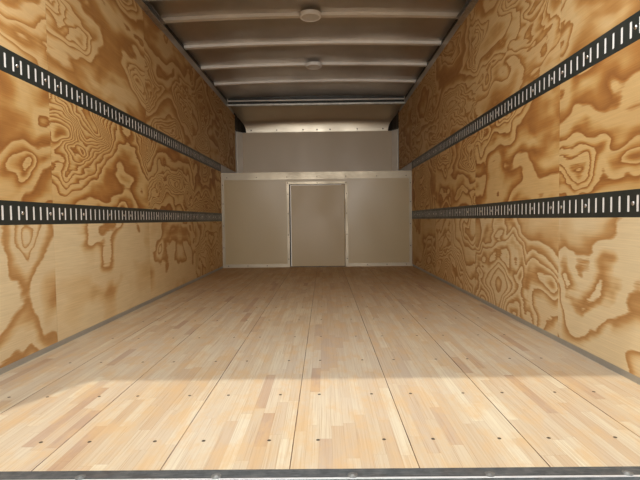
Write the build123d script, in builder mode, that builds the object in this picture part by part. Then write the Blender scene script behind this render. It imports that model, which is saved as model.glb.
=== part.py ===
from build123d import *
from math import asin, atan, cos, degrees, radians, sin, sqrt
import os

# Cargo body of a box truck, with an attic over the cab. Millimetres.
# +X is the driver's right looking forward, +Y is forward, +Z is up.
# Heights are given above the deck (the floor's top), and lengths forward of the floor's rear edge.

body_width = 2438                   # over the side skins, 96 in
inside_width = 2340                 # between the plywood faces
plywood = 12
rail_proud = 3                      # how far rails and posts stand out of the side skins
half_body = body_width / 2
half_rail = half_body + rail_proud
half_inside = inside_width / 2
half_core = half_inside + plywood   # inner face of the side walls' cores

longsill_height = 100
crossmember_height = 80
floor_thick = 28
deck = longsill_height + crossmember_height + floor_thick
beam_high = -floor_thick            # crossmembers' top and foot
beam_low = beam_high - crossmember_height

bay_length = 4810                   # floor's rear edge to the bulkhead
bulkhead_thick = 40
cab_wall = bay_length + bulkhead_thick
attic_deck = 1170                   # attic floor's top above the deck
attic_thick = 60
attic_foot = attic_deck - attic_thick

rear_face = 45                      # rear frame behind the floor's rear edge
post_front = 25                     # rear posts' front face
nose_front = 6140
nose_foot = 1890                    # where the nose starts to curve
nose_radius = 220
nose_top_y = 5350                   # where the nose meets the roof sheet
nose_thick = 40
corner_run = 100                    # upright corners of the attic's front: run along each face
corner_radius = 112                 # a little flatter than a quarter circle, with a crease at each end

roof_height = 2200                  # rails' top above the deck
roof_crown = 25
roof_sheet = 3
roof_top = roof_height + roof_crown + roof_sheet

handle_reach = 55                   # grab handles behind the rear frame
lamp_proud = 14
front_reach = nose_front + lamp_proud
rear_reach = rear_face + handle_reach
rear = -(front_reach - rear_reach) / 2   # the floor's rear edge, with the whole body centred along Y

sides = (("right", 1), ("left", -1))
os.makedirs("parts", exist_ok=True)


def across(y):
    """A plane across the body, which faces the rear: forward extrusions are negative."""
    return Plane.XZ.offset(-(rear + y))


def level(z):
    """A level plane, z above the deck, with its origin at the floor's rear edge."""
    return Plane(origin=(0, rear, deck + z))


def outline(plane, points):
    """The face inside a closed outline."""
    with BuildSketch(plane) as sketch:
        with BuildLine():
            Polyline(points, close=True)
        make_face()
    return sketch.sketch


def section(y, points, side=1):
    """A face across the body, from (x, height) points of the right side."""
    return outline(across(y), [(side * x, deck + z) for x, z in points])


def profile(x, points):
    """A face seen from the side, from (y, height) points."""
    return outline(Plane.YZ.offset(x), [(rear + y, deck + z) for y, z in points])


def plan(z, points, side):
    """A level face, from (x, y) points of the right side."""
    return outline(level(z), [(side * x, y) for x, y in points])


def rectangle(left, right, foot, top):
    """The four corners of an upright rectangle."""
    return (left, foot), (right, foot), (right, top), (left, top)


# The roof's underside is one arc across the body
crown_radius = (half_body**2 + roof_crown**2) / (2 * roof_crown)


def crown(x):
    """How far the roof's underside stands above the rails' top."""
    return roof_crown - crown_radius + sqrt(crown_radius**2 - x**2)


def crowned(y, half, low, high):
    """A strip across the body whose two long edges follow the roof's crown."""
    low_end = deck + low + crown(half)
    high_end = deck + high + crown(half)
    with BuildSketch(across(y)) as sketch:
        with BuildLine():
            ThreePointArc((-half, low_end), (0, deck + low + roof_crown), (half, low_end))
            Line((half, low_end), (half, high_end))
            ThreePointArc((half, high_end), (0, deck + high + roof_crown), (-half, high_end))
            Line((-half, high_end), (-half, low_end))
        make_face()
    return sketch.sketch


# The nose is two tangent arcs: a small one at its foot and a large one that ends level with the roof
arc_run = nose_front - nose_radius - nose_top_y
arc_rise = roof_top - nose_foot - nose_radius
foot_turn = 90 - 2 * degrees(atan(arc_rise / arc_run))
arc_gap = arc_run / cos(radians(foot_turn))
sweep_radius = nose_radius + arc_gap
sweep_centre = nose_foot - arc_gap * sin(radians(foot_turn))


def nose_end(inset, ceiling):
    """Where the large arc, moved in by inset, reaches a height: its angle and its place along Y."""
    angle = asin(min(1, (ceiling - sweep_centre) / (sweep_radius - inset)))
    return degrees(angle), nose_top_y + (sweep_radius - inset) * cos(angle)


def nose_outline(x, inset, ceiling, floor, back):
    """The side outline of the attic and nose, moved in by inset, back to the place back."""
    front = rear + nose_front - inset
    end_turn, end_y = nose_end(inset, ceiling)
    corners = [(rear + back, deck + ceiling), (rear + back, deck + floor), (front, deck + floor)]
    if end_y - back < 1:
        corners.pop(0)
    with BuildSketch(Plane.YZ.offset(x)) as sketch:
        with BuildLine():
            foot = JernArc((front, deck + nose_foot), (0, 1), nose_radius - inset, foot_turn)
            top = JernArc(foot @ 1, foot % 1, sweep_radius - inset, end_turn - foot_turn)
            Polyline(top @ 1, *corners)
            if floor < nose_foot:
                Line((front, deck + floor), (front, deck + nose_foot))
        make_face()
    return sketch.sketch


corner_centre = corner_run / 2 + sqrt(corner_radius**2 / 2 - corner_run**2 / 4)   # in from both faces


def corner_waste(side):
    """What the rounded upright corner leaves off a square one."""
    with BuildSketch(level(attic_foot)) as sketch:
        with Locations((side * half_rail, nose_front)):
            Rectangle(2 * corner_run, 2 * corner_run)
        with Locations((side * (half_rail - corner_centre), nose_front - corner_centre)):
            Circle(corner_radius, mode=Mode.SUBTRACT)
    return sketch.sketch


# Underframe
longsill_outer = 432                # 864 mm over both, like the chassis rails under them
longsill_inner = longsill_outer - 50
longsill_wall = 8
longsill_foot = -deck
longsill_section = (
    (longsill_inner, longsill_foot), (longsill_outer, longsill_foot), (longsill_outer, beam_low),
    (longsill_inner, beam_low), (longsill_inner, beam_low - longsill_wall),
    (longsill_outer - longsill_wall, beam_low - longsill_wall),
    (longsill_outer - longsill_wall, longsill_foot + longsill_wall),
    (longsill_inner, longsill_foot + longsill_wall))
plate_places = (400, 2400, 4400)
plate_hole_radius = 8.5
plate_hole_grid = (160, 50)
plate_size = (220, 92)
plate_corner = 12
plate_thick = 10
plate_middle = longsill_foot + longsill_height / 2

for side_name, side in sides:
    holes = Plane.YZ.offset(side * longsill_outer)
    with BuildPart() as longsill:
        extrude(section(0, longsill_section, side), amount=-cab_wall)
        for y in plate_places:
            with BuildSketch(holes):
                with Locations((rear + y, deck + plate_middle)):
                    with GridLocations(*plate_hole_grid, 2, 2):
                        Circle(plate_hole_radius)
            extrude(amount=2 * longsill_wall, both=True, mode=Mode.SUBTRACT)
    longsill.part.label = f"longsill_{side_name}"
    export_step(longsill.part, f"parts/longsill_{side_name}.step")

with BuildPart() as mounting_plates:
    for side_name, side in sides:
        for y in plate_places:
            with BuildSketch(Plane.YZ.offset(side * longsill_outer)):
                with Locations((rear + y, deck + plate_middle)):
                    RectangleRounded(*plate_size, plate_corner)
                    with GridLocations(*plate_hole_grid, 2, 2):
                        Circle(plate_hole_radius, mode=Mode.SUBTRACT)
            extrude(amount=side * plate_thick)
mounting_plates.part.label = "mounting_plates"
export_step(mounting_plates.part, "parts/mounting_plates.step")

crossmember_pitch = 304.8
crossmember_count = 16
beam_first = 90
flange = 50
web = 6
half_beam = (
    (flange / 2, beam_low), (flange / 2, beam_low + web), (web / 2, beam_low + web),
    (web / 2, beam_high - web), (flange / 2, beam_high - web), (flange / 2, beam_high))
beam_section = half_beam + tuple((-u, v) for u, v in reversed(half_beam))
with BuildPart() as crossmembers:
    for index in range(crossmember_count):
        middle = beam_first + index * crossmember_pitch
        beam = [(middle + u, v) for u, v in beam_section]
        extrude(profile(0, beam), amount=half_core, both=True)
crossmembers.part.label = "crossmembers"
export_step(crossmembers.part, "parts/crossmembers.step")

board_width = 304.8
board_seam = 1
board_count = 8
with BuildPart() as floor_boards:
    for index in range(board_count):
        left = max(-half_core, (index - board_count / 2) * board_width + board_seam / 2)
        right = min(half_core, (index + 1 - board_count / 2) * board_width - board_seam / 2)
        extrude(section(0, rectangle(left, right, -floor_thick, 0)), amount=-cab_wall)
floor_boards.part.label = "floor_boards"
export_step(floor_boards.part, "parts/floor_boards.step")

# Rear frame
tail_lamp = (165, 57)
tail_lamp_places = (-940, 940)
reverse_lamp_places = (-730, 730)
lamp_height = -90
sill_foot = -170
sill_wall = 8
sill_top_thick = 10
sill_profile = (
    (-rear_face, sill_foot), (-rear_face, 0), (0, 0), (0, -sill_top_thick),
    (sill_wall - rear_face, -sill_top_thick), (sill_wall - rear_face, sill_foot + sill_wall),
    (0, sill_foot + sill_wall), (0, sill_foot))
with BuildPart() as rear_sill:
    extrude(profile(0, sill_profile), amount=half_rail, both=True)
    with BuildSketch(across(-rear_face)):
        with Locations(*[(x, deck + lamp_height) for x in tail_lamp_places + reverse_lamp_places]):
            SlotOverall(*tail_lamp)
    extrude(amount=-2 * sill_wall, mode=Mode.SUBTRACT)
rear_sill.part.label = "rear_sill"
export_step(rear_sill.part, "parts/rear_sill.step")

opening_half = 1110
opening_height = 2000
lip_front = -5
post_section = (
    (opening_half, -rear_face), (half_rail, -rear_face), (half_rail, post_front),
    (half_inside, post_front), (half_inside, lip_front), (opening_half, lip_front))
for side_name, side in sides:
    with BuildPart() as rear_post:
        extrude(plan(0, post_section, side), amount=roof_height)
    rear_post.part.label = f"rear_post_{side_name}"
    export_step(rear_post.part, f"parts/rear_post_{side_name}.step")

with BuildPart() as rear_header:
    with BuildSketch(across(-rear_face)):
        with BuildLine():
            edge = deck + roof_height + crown(opening_half)
            Polyline((-opening_half, edge), (-opening_half, deck + opening_height),
                     (opening_half, deck + opening_height), (opening_half, edge))
            ThreePointArc((opening_half, edge), (0, deck + roof_height + roof_crown), (-opening_half, edge))
        make_face()
    extrude(amount=-(rear_face + lip_front))
rear_header.part.label = "rear_header"
export_step(rear_header.part, "parts/rear_header.step")

# Side walls: skin and posts as one thickness, with rails round their edges
rail_depth = 60
wall_foot = 10
row_lip = 25                        # the bottom rail's lip below the lowest row of plywood
attic_rail = 45
core_ceiling = roof_height - rail_depth
core_front = cab_wall - rail_depth  # where the side wall above the cab starts
rail_web = 8
rail_plate = 12
skirt_wall = 6
skirt_foot = -60
bottom_rail_web = (
    (half_core, beam_low), (half_core + rail_web, beam_low), (half_core + rail_web, -rail_plate),
    (half_rail - skirt_wall, -rail_plate), (half_rail - skirt_wall, skirt_foot), (half_rail, skirt_foot),
    (half_rail, 0), (half_core, 0))
bottom_rail_shelf = (
    (half_inside, 0), (half_rail, 0), (half_rail, rail_depth), (half_body, rail_depth),
    (half_body, wall_foot), (half_core, wall_foot), (half_core, row_lip), (half_inside, row_lip))
rail_leg_foot = 2084                # top of the plywood
rail_leg_top = 2150
for side_name, side in sides:
    bay = profile(side * half_core, rectangle(post_front, core_front, wall_foot, core_ceiling))
    attic_floor_line = attic_foot + attic_rail
    attic = nose_outline(side * half_core, rail_depth, core_ceiling, attic_floor_line, core_front)
    with BuildPart() as side_wall:
        extrude(bay, amount=side * (half_body - half_core))
        extrude(attic, amount=side * (half_body - half_core))
    side_wall.part.label = f"side_wall_{side_name}"
    export_step(side_wall.part, f"parts/side_wall_{side_name}.step")

    with BuildPart() as bottom_rail:
        extrude(section(0, bottom_rail_web, side), amount=-cab_wall)
        extrude(section(post_front, bottom_rail_shelf, side), amount=post_front - core_front)
    bottom_rail.part.label = f"bottom_rail_{side_name}"
    export_step(bottom_rail.part, f"parts/bottom_rail_{side_name}.step")

    with BuildPart() as top_rail:
        for corners in (rectangle(half_core, half_rail, core_ceiling, roof_height),
                        rectangle(half_inside, half_core, rail_leg_foot, rail_leg_top)):
            extrude(section(post_front, corners, side), amount=-(nose_top_y - post_front))
    top_rail.part.label = f"top_rail_{side_name}"
    export_step(top_rail.part, f"parts/top_rail_{side_name}.step")

    cab_corner = profile(side * half_core, (
        (core_front, 0), (cab_wall, 0), (cab_wall, attic_foot), (nose_top_y, attic_foot),
        (nose_top_y, core_ceiling), (core_front, core_ceiling)))
    nose = nose_outline(side * half_core, 0, roof_height, attic_foot, nose_top_y)
    with BuildPart() as nose_rail:
        extrude(nose, amount=side * (half_rail - half_core))
        extrude(cab_corner, amount=side * (half_rail - half_core))
        extrude(attic, amount=side * (half_rail - half_core), mode=Mode.SUBTRACT)
        extrude(corner_waste(side), amount=roof_height - attic_foot, mode=Mode.SUBTRACT)
    nose_rail.part.label = f"nose_rail_{side_name}"
    export_step(nose_rail.part, f"parts/nose_rail_{side_name}.step")

# Plywood rows and slotted cargo tracks between them
track_height = 98
track_wall = 3
track_low = 627
track_high = 1233
slot_size = (13, 58)
slot_pitch = 50.8
slot_first = 57.8
slot_count = 93
slot_corner = 3
attic_ply_end = 5810
sheet = 1219
sheet_first = 1120                  # first seam forward of the floor's rear edge
sheet_gap = 1.5
rows = (                            # name, foot, top, front end
    ("lower", row_lip, track_low - track_height / 2, bay_length),
    ("middle", track_low + track_height / 2, track_high - track_height / 2, bay_length),
    ("upper", track_high + track_height / 2, rail_leg_foot, attic_ply_end),
)
tracks = (("lower", track_low), ("upper", track_high))

for side_name, side in sides:
    for row, foot, top, front in rows:
        seams = [sheet_first + sheet * step for step in range(5)]
        seams = [post_front] + [seam for seam in seams if seam < front - 50] + [front]
        with BuildPart() as row_sheets:
            for start, end in zip(seams, seams[1:]):
                board = rectangle(start + sheet_gap / 2, end - sheet_gap / 2, foot, top)
                extrude(profile(side * half_inside, board), amount=side * plywood)
        row_sheets.part.label = f"plywood_{side_name}_{row}"
        export_step(row_sheets.part, f"parts/plywood_{side_name}_{row}.step")

    for row, middle in tracks:
        low = middle - track_height / 2
        high = middle + track_height / 2
        with BuildPart() as track:
            channel = section(post_front + 2, (
                (half_inside, low), (half_inside, high), (half_core, high), (half_core, high - track_wall),
                (half_inside + track_wall, high - track_wall), (half_inside + track_wall, low + track_wall),
                (half_core, low + track_wall), (half_core, low)), side)
            extrude(channel, amount=-(bay_length - post_front - 4))
            with BuildSketch(Plane.YZ.offset(side * half_inside)):
                slots = [(rear + slot_first + slot * slot_pitch, deck + middle) for slot in range(slot_count)]
                with Locations(*slots):
                    RectangleRounded(*slot_size, slot_corner)
            extrude(amount=side * (track_wall + 1), mode=Mode.SUBTRACT)
        track.part.label = f"cargo_track_{side_name}_{row}"
        export_step(track.part, f"parts/cargo_track_{side_name}_{row}.step")

# Bulkhead with its pass-through door
door_gap = 6
doorway_left = -337
doorway_right = 353
doorway_top = 1020
hinge_x = 345
hinge_y = bay_length - 6
knuckle_radius = 6
pin_radius = 3
pin_play = 0.08
door_foot = 8
with BuildPart() as bulkhead:
    face = section(bay_length, (
        (-half_core, 0), (doorway_left, 0), (doorway_left, doorway_top), (doorway_right, doorway_top),
        (doorway_right, 0), (half_core, 0), (half_core, attic_foot), (-half_core, attic_foot)))
    extrude(face, amount=-bulkhead_thick)
bulkhead.part.label = "bulkhead"
export_step(bulkhead.part, "parts/bulkhead.step")

strip_proud = 4
cap_foot = 1080
door_strip = 32
foot_strip = 42
edge_strip = 34
jamb_left = doorway_left - 31
jamb_right = doorway_right + 31
strips = (                          # left, right, foot, top
    (-half_inside, half_inside, cap_foot, attic_deck),
    (jamb_left, jamb_right, doorway_top, doorway_top + door_strip),
    (jamb_left, doorway_left, 0, doorway_top),
    (doorway_right, jamb_right, 0, doorway_top),
    (-half_inside, jamb_left, 0, foot_strip),
    (jamb_right, half_inside, 0, foot_strip),
    (-half_inside, edge_strip - half_inside, foot_strip, cap_foot),
    (half_inside - edge_strip, half_inside, foot_strip, cap_foot),
)
knuckle_length = 200
knuckle_gap = 1
knuckles = [(door_foot + 2 + step * knuckle_length, step % 2) for step in range(5)]   # foot, 1 on the door

with BuildPart() as bulkhead_frame:
    for strip in strips:
        extrude(section(bay_length, rectangle(*strip)), amount=strip_proud)
    for foot, on_door in knuckles:
        if not on_door:
            leaf = rectangle(hinge_x, doorway_right, foot, foot + knuckle_length)
            extrude(section(bay_length, leaf), amount=strip_proud)
            with BuildSketch(level(foot)):
                with Locations((hinge_x, hinge_y)):
                    Circle(knuckle_radius)
            extrude(amount=knuckle_length)
    with BuildSketch(level(knuckles[0][0])):
        with Locations((hinge_x, hinge_y)):
            Circle(pin_radius)
    extrude(amount=len(knuckles) * knuckle_length)
bulkhead_frame.part.label = "bulkhead_frame"
export_step(bulkhead_frame.part, "parts/bulkhead_frame.step")

door_thick = 24
door_face = bay_length + 2
leaf_width = 36
with BuildPart() as bulkhead_door:
    panel = rectangle(doorway_left + door_gap, doorway_right - door_gap, door_foot, doorway_top - door_gap)
    extrude(section(door_face, panel), amount=-door_thick)
    for foot, on_door in knuckles:
        if on_door:
            low = foot + knuckle_gap
            high = foot + knuckle_length - knuckle_gap
            leaf = rectangle(hinge_x - leaf_width, hinge_x, low, high)
            extrude(section(door_face, leaf), amount=door_face - hinge_y - pin_radius)
            with BuildSketch(level(low)):
                with Locations((hinge_x, hinge_y)):
                    Circle(knuckle_radius)
            extrude(amount=high - low)
    with BuildSketch(level(0)):
        with Locations((hinge_x, hinge_y)):
            Circle(pin_radius + pin_play)
    extrude(amount=doorway_top, mode=Mode.SUBTRACT)
bulkhead_door.part.label = "bulkhead_door"
export_step(bulkhead_door.part, "parts/bulkhead_door.step")

# Attic over the cab
attic_wall = nose_front - nose_thick
corner_section = (                  # upright strips across the attic's front corners
    (1110, attic_wall), (half_core, attic_wall), (half_core, 5985), (1172, 5985), (1110, 6085))
gusset_section = (                  # wider gussets above them, up to the inside of the nose
    (1055, attic_wall), (half_core, attic_wall), (half_core, attic_ply_end), (half_inside, attic_ply_end),
    (1150, 5920), (1112, 6020))
with BuildPart() as attic_corners:
    for side_name, side in sides:
        extrude(plan(nose_foot, gusset_section, side), amount=roof_top - nose_foot)
    inner = nose_outline(0, nose_thick, roof_height - nose_thick, nose_foot, nose_top_y)
    extrude(inner, amount=half_core, both=True, mode=Mode.INTERSECT)
    for side_name, side in sides:
        extrude(plan(attic_foot, corner_section, side), amount=nose_foot - attic_foot)
attic_corners.part.label = "attic_corners"
export_step(attic_corners.part, "parts/attic_corners.step")

with BuildPart() as attic_floor:
    deck_edge = rectangle(bay_length, attic_wall, attic_foot, attic_deck)
    extrude(profile(0, deck_edge), amount=half_core, both=True)
    for side_name, side in sides:
        extrude(plan(attic_foot, corner_section, side), amount=attic_thick, mode=Mode.SUBTRACT)
attic_floor.part.label = "attic_floor"
export_step(attic_floor.part, "parts/attic_floor.step")

with BuildPart() as attic_front:
    wall_edge = rectangle(attic_wall, nose_front, attic_foot, nose_foot)
    extrude(profile(0, wall_edge), amount=half_core, both=True)
    for side_name, side in sides:
        extrude(corner_waste(side), amount=nose_foot - attic_foot, mode=Mode.SUBTRACT)
attic_front.part.label = "attic_front"
export_step(attic_front.part, "parts/attic_front.step")

with BuildPart() as nose_panel:
    extrude(nose_outline(0, 0, roof_top, nose_foot, nose_top_y), amount=half_core, both=True)
    under = nose_outline(0, nose_thick, roof_top - nose_thick, nose_foot, nose_top_y)
    extrude(under, amount=half_core, both=True, mode=Mode.SUBTRACT)
    below_roof = crowned(nose_top_y, half_core, nose_foot - 2 * roof_crown, roof_height + roof_sheet)
    extrude(below_roof, amount=nose_top_y - nose_front, mode=Mode.INTERSECT)
    for side_name, side in sides:
        extrude(corner_waste(side), amount=roof_top - attic_foot, mode=Mode.SUBTRACT)
nose_panel.part.label = "nose_panel"
export_step(nose_panel.part, "parts/nose_panel.step")

# Roof
with BuildPart() as roof:
    sheet_section = crowned(-rear_face, half_body, roof_height, roof_height + roof_sheet)
    extrude(sheet_section, amount=-(nose_top_y + rear_face))
roof.part.label = "roof_sheet"
export_step(roof.part, "parts/roof_sheet.step")

bow_pitch = 609.6
bow_first = 351
bow_count = 8
bow_width = 48
bow_depth = 25
with BuildPart() as roof_bows:
    for index in range(bow_count):
        start = bow_first + index * bow_pitch - bow_width / 2
        extrude(crowned(start, half_core, roof_height - bow_depth, roof_height), amount=-bow_width)
roof_bows.part.label = "roof_bows"
export_step(roof_bows.part, "parts/roof_bows.step")

header_face = 5300
header_foot = 2100
header_depth = 50
header_wall = 12
header_lip = 22
header_top = roof_height + 2 * roof_crown
header_front = header_face + header_depth
header_profile = (
    (header_face, header_foot), (header_front, header_foot), (header_front, header_top),
    (header_front - header_wall, header_top), (header_front - header_wall, header_foot + header_wall),
    (header_face + header_wall, header_foot + header_wall),
    (header_face + header_wall, header_foot + header_lip), (header_face, header_foot + header_lip))
with BuildPart() as front_header:
    extrude(profile(0, header_profile), amount=half_inside, both=True)
    below_roof = crowned(header_face, half_inside, header_foot - 2 * roof_crown, roof_height)
    extrude(below_roof, amount=-header_depth, mode=Mode.INTERSECT)
front_header.part.label = "front_header"
export_step(front_header.part, "parts/front_header.step")

dome_radius = 80
dome_drop = 30
dome_seat = roof_height + roof_crown - bow_depth - 0.5
dome_behind_bow = 55
dome_bows = (4, 6)
with BuildPart() as dome_lamps:
    for bow in dome_bows:
        with BuildSketch(level(dome_seat - dome_drop)):
            with Locations((0, bow_first + bow * bow_pitch - dome_behind_bow)):
                Circle(dome_radius)
        extrude(amount=dome_drop)
    chamfer(dome_lamps.faces().group_by(Axis.Z)[0].edges(), 12)
dome_lamps.part.label = "dome_lamps"
export_step(dome_lamps.part, "parts/dome_lamps.step")

# Roll-up door, open under the roof
track_line = 30                     # the upright run's middle
bend_radius = 220
track_roof = 2100                   # the level run's middle
track_front = 2690
track_band = 25
track_wall_in = 5
door_track_inner = 1122
track_foot = 2
bend_y = track_line + bend_radius
bend_z = track_roof - bend_radius


def track_outline(x, half):
    """The path of a door track, half to each side of its middle line."""
    upright = rear + track_line
    level_run = deck + track_roof
    foot = deck + track_foot
    bend = deck + bend_z
    front = rear + track_front
    with BuildSketch(Plane.YZ.offset(x)) as sketch:
        with BuildLine():
            outer = JernArc((upright - half, bend), (0, 1), bend_radius + half, -90)
            inner = JernArc((upright + half, bend), (0, 1), bend_radius - half, -90)
            Polyline(outer @ 1, (front, level_run + half), (front, level_run - half), inner @ 1)
            Polyline(inner @ 0, (upright + half, foot), (upright - half, foot), outer @ 0)
        make_face()
    return sketch.sketch


with BuildPart() as door_tracks:
    for side_name, side in sides:
        body = track_outline(side * door_track_inner, track_band)
        groove = track_outline(side * door_track_inner, track_band - track_wall_in)
        extrude(body, amount=side * (half_inside - door_track_inner))
        extrude(groove, amount=side * (half_inside - door_track_inner - track_wall_in), mode=Mode.SUBTRACT)
door_tracks.part.label = "door_tracks"
export_step(door_tracks.part, "parts/door_tracks.step")

door_sections = 7
section_height = 278
section_gap = 2
section_thick = 20
section_start = bend_y + 20
section_half = 1116
roller = (                          # radius, start and end beside the door's middle
    (6, 1116, 1140),
    (18, 1136, 1160),
)
roller_place = 30
section_low = track_roof - section_thick / 2
with BuildPart() as roll_up_door:
    for index in range(door_sections):
        y = section_start + index * (section_height + section_gap)
        slab = rectangle(y, y + section_height, section_low, section_low + section_thick)
        extrude(profile(0, slab), amount=section_half, both=True)
        for side_name, side in sides:
            for radius, start, end in roller:
                with BuildSketch(Plane.YZ.offset(side * start)):
                    with Locations((rear + y + roller_place, deck + track_roof)):
                        Circle(radius)
                extrude(amount=side * (end - start))
roll_up_door.part.label = "roll_up_door"
export_step(roll_up_door.part, "parts/roll_up_door.step")

shaft_y = 66
shaft_z = 2130
drum_radius = 42
with BuildPart() as counterbalance:
    for half, radius in ((1092, 14), (620, 32)):
        with BuildSketch(Plane.YZ):
            with Locations((rear + shaft_y, deck + shaft_z)):
                Circle(radius)
        extrude(amount=half, both=True)
    for side_name, side in sides:
        with BuildSketch(Plane.YZ.offset(side * 1040)):
            with Locations((rear + shaft_y, deck + shaft_z)):
                Circle(drum_radius)
        extrude(amount=side * 40)
    for x in (-1000, 0, 1000):
        plate = rectangle(lip_front, shaft_y + drum_radius, shaft_z - drum_radius, shaft_z + drum_radius)
        extrude(profile(x, plate), amount=4, both=True)
counterbalance.part.label = "counterbalance"
export_step(counterbalance.part, "parts/counterbalance.step")

# Lamps on the outside
marker = (100, 32)
marker_row = (-1040, -150, 0, 150, 1040)
rear_marker_height = 2110
front_marker_height = 1830
side_marker_height = 150
red_side_place = 130
amber_side_place = 4640
attic_side_height = 1300
attic_side_place = 5900
lens_rim = 8
lens_play = 1


def lamp_row(places, height, plane, size, depth):
    """Rounded lenses along one line of a plane."""
    with BuildSketch(plane) as lenses:
        with Locations(*[(x, deck + height) for x in places]):
            SlotOverall(*size)
    extrude(lenses.sketch, amount=depth)


def sill_lamps(places):
    """Lenses in the rear sill: a rim on its face and a body through its hole."""
    rim = [side + 2 * lens_rim for side in tail_lamp]
    body = [side - 2 * lens_play for side in tail_lamp]
    lamp_row(places, lamp_height, across(-rear_face), rim, 6)
    lamp_row(places, lamp_height, across(-rear_face), body, -20)


with BuildPart() as red_lamps:
    lamp_row(marker_row, rear_marker_height, across(-rear_face), marker, lamp_proud)
    sill_lamps(tail_lamp_places)
    for side_name, side in sides:
        skin = Plane.YZ.offset(side * half_body)
        lamp_row([rear + red_side_place], side_marker_height, skin, marker, side * lamp_proud)
red_lamps.part.label = "red_lamps"
export_step(red_lamps.part, "parts/red_lamps.step")

with BuildPart() as amber_lamps:
    lamp_row(marker_row, front_marker_height, across(nose_front), marker, -lamp_proud)
    for side_name, side in sides:
        skin = Plane.YZ.offset(side * half_body)
        lamp_row([rear + amber_side_place], side_marker_height, skin, marker, side * lamp_proud)
        lamp_row([rear + attic_side_place], attic_side_height, skin, marker, side * lamp_proud)
amber_lamps.part.label = "amber_lamps"
export_step(amber_lamps.part, "parts/amber_lamps.step")

with BuildPart() as reverse_lamps:
    sill_lamps(reverse_lamp_places)
reverse_lamps.part.label = "reverse_lamps"
export_step(reverse_lamps.part, "parts/reverse_lamps.step")

# Grab handles on the rear posts
handle_x = 1166
handle_heights = (950, 1300)
handle_radius = 9
handle_bend = 30
handle_line = -rear_face - handle_reach + handle_radius
with BuildPart() as grab_handles:
    for side_name, side in sides:
        low, high = [deck + height for height in handle_heights]
        with BuildLine(Plane.YZ.offset(side * handle_x)) as route:
            FilletPolyline((rear - rear_face, low), (rear + handle_line, low), (rear + handle_line, high),
                           (rear - rear_face, high), radius=handle_bend)
        with BuildSketch(Plane(origin=route.line @ 0, z_dir=route.line % 0)):
            Circle(handle_radius)
        sweep(path=route.line)
        with BuildSketch(across(-rear_face)):
            with Locations((side * handle_x, low), (side * handle_x, high)):
                Circle(2.2 * handle_radius)
        extrude(amount=5)
grab_handles.part.label = "grab_handles"
export_step(grab_handles.part, "parts/grab_handles.step")

print("floor's rear edge at y =", rear, "and deck at z =", deck)
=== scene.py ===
import math

import bpy
import numpy as np
from mathutils import Matrix, Vector


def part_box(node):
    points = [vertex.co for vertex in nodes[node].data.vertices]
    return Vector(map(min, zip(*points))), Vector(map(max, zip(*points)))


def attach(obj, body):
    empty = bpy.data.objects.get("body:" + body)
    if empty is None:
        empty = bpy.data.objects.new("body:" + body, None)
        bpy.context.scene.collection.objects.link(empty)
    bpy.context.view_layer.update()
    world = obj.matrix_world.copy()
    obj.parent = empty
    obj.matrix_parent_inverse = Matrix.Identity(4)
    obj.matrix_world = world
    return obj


# Cargo body of a box truck. Places are in metres: x to the right, y forward of the floor's rear edge,
# z above the deck, which is the floor's top.
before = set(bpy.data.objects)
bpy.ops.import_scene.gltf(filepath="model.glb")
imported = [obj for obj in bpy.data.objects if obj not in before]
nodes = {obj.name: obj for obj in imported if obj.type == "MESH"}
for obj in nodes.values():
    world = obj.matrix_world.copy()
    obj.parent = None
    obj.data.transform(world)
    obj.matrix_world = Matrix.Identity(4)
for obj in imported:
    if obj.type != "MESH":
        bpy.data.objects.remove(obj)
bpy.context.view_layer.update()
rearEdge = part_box("floor_boards")[0].y
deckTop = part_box("floor_boards")[1].z
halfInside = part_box("plywood_right_lower")[0].x   # the plywood's face
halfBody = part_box("side_wall_right")[1].x   # the outer skin
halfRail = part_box("nose_rail_right")[1].x   # rails stand a little proud of it
sides = (("right", 1), ("left", -1))
upward, downward, forward, backward = (0, 0, 1), (0, 0, -1), (0, 1, 0), (0, -1, 0)
print("frame loaded with", len(nodes), "nodes")


def at(x, y, z):
    return Vector((x, rearEdge + y, deckTop + z))


def fromDeck(node):   # a node's lowest and highest corners, in these places
    return [corner - at(0, 0, 0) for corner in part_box(node)]


def linked(name, data):   # a new object, in the scene
    thing = bpy.data.objects.new(name, data)
    bpy.context.scene.collection.objects.link(thing)
    return thing


# Shader helpers

def wire(tree, socket, value):   # a link or a plain value
    if isinstance(value, bpy.types.NodeSocket):
        tree.links.new(value, socket)
    else:
        socket.default_value = value


def add(tree, kind, inputs=None, **settings):
    node = tree.nodes.new("ShaderNode" + kind)
    for name, value in settings.items():
        setattr(node, name, value)
    for name, value in (inputs or {}).items():
        wire(tree, node.inputs[name], value)
    return node


def calc(tree, operation, *values, clamp=False):
    node = add(tree, "Math", operation=operation, use_clamp=clamp)
    for socket, value in zip(node.inputs, values):
        wire(tree, socket, value)
    return node.outputs[0]


def arithmetic(operation):   # calc under a short name
    def made(tree, *values, clamp=False):
        return calc(tree, operation, *values, clamp=clamp)
    return made


plus, minus, times, over = [arithmetic(name) for name in ("ADD", "SUBTRACT", "MULTIPLY", "DIVIDE")]


def vector(tree, operation, *values):
    node = add(tree, "VectorMath", operation=operation)
    for socket, value in zip(node.inputs, values):
        wire(tree, socket, value)
    return node.outputs["Value" if operation in ("DOT_PRODUCT", "LENGTH") else "Vector"]


def blend(tree, factor, first, second, mode="MIX"):   # two colours
    node = add(tree, "Mix", data_type="RGBA", blend_type=mode)
    for index, value in ((0, factor), (6, first), (7, second)):
        wire(tree, node.inputs[index], value)
    return node.outputs[2]


def between(tree, factor, low, high):   # two numbers
    node = add(tree, "Mix", {"Factor": factor}, data_type="FLOAT")
    wire(tree, node.inputs[2], low)
    wire(tree, node.inputs[3], high)
    return node.outputs[0]


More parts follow.
